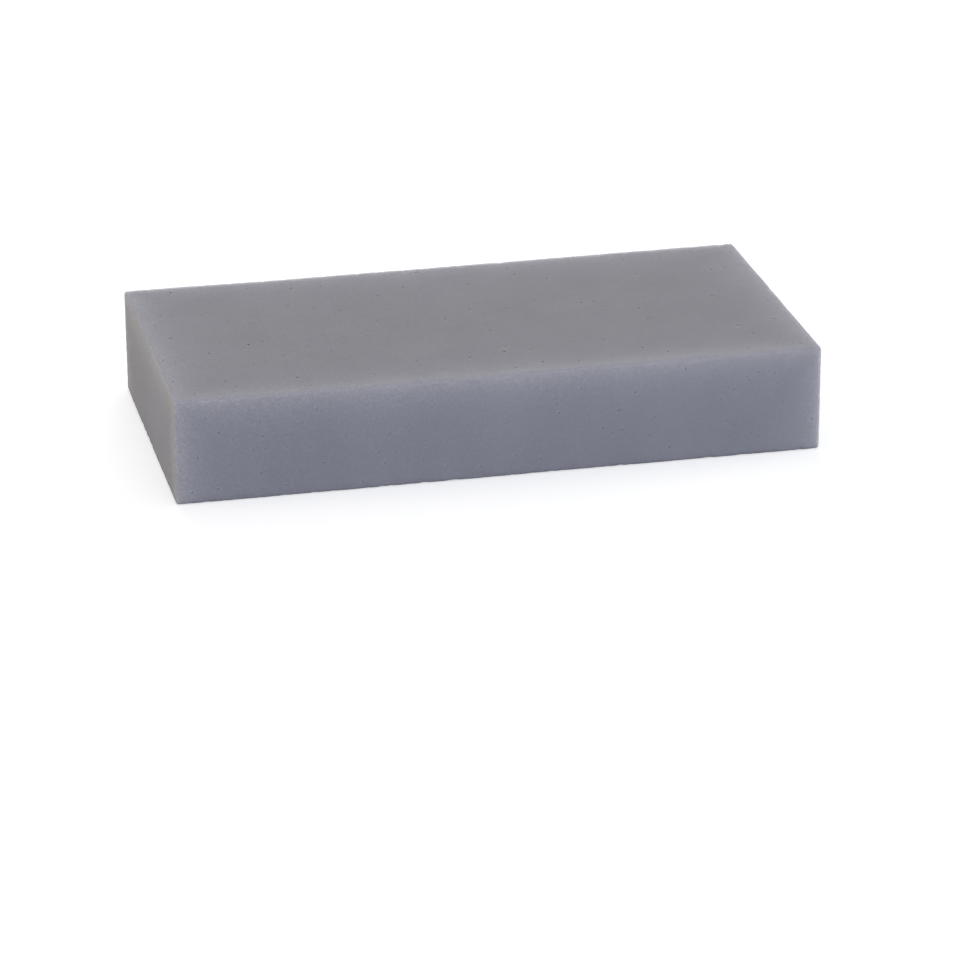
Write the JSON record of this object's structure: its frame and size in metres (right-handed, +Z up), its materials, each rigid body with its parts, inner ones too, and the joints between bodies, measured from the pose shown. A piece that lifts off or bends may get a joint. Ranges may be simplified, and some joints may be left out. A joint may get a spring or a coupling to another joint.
{
  "type": "melamine sponge",
  "caption": "Plain rectangular block of fine grey open-celled melamine foam, used damp to rub marks off hard surfaces.",
  "frame": {"origin": "centre of the underside of the block", "axes": "+X along the length, +Y across the width, +Z up through the height; the block lies flat on its largest face"},
  "size_m": [0.12, 0.06, 0.02],
  "materials": {
    "foam": "matte"
  },
  "bodies": {
    "root": {"foam_block": "foam"}
  },
  "joints": []
}
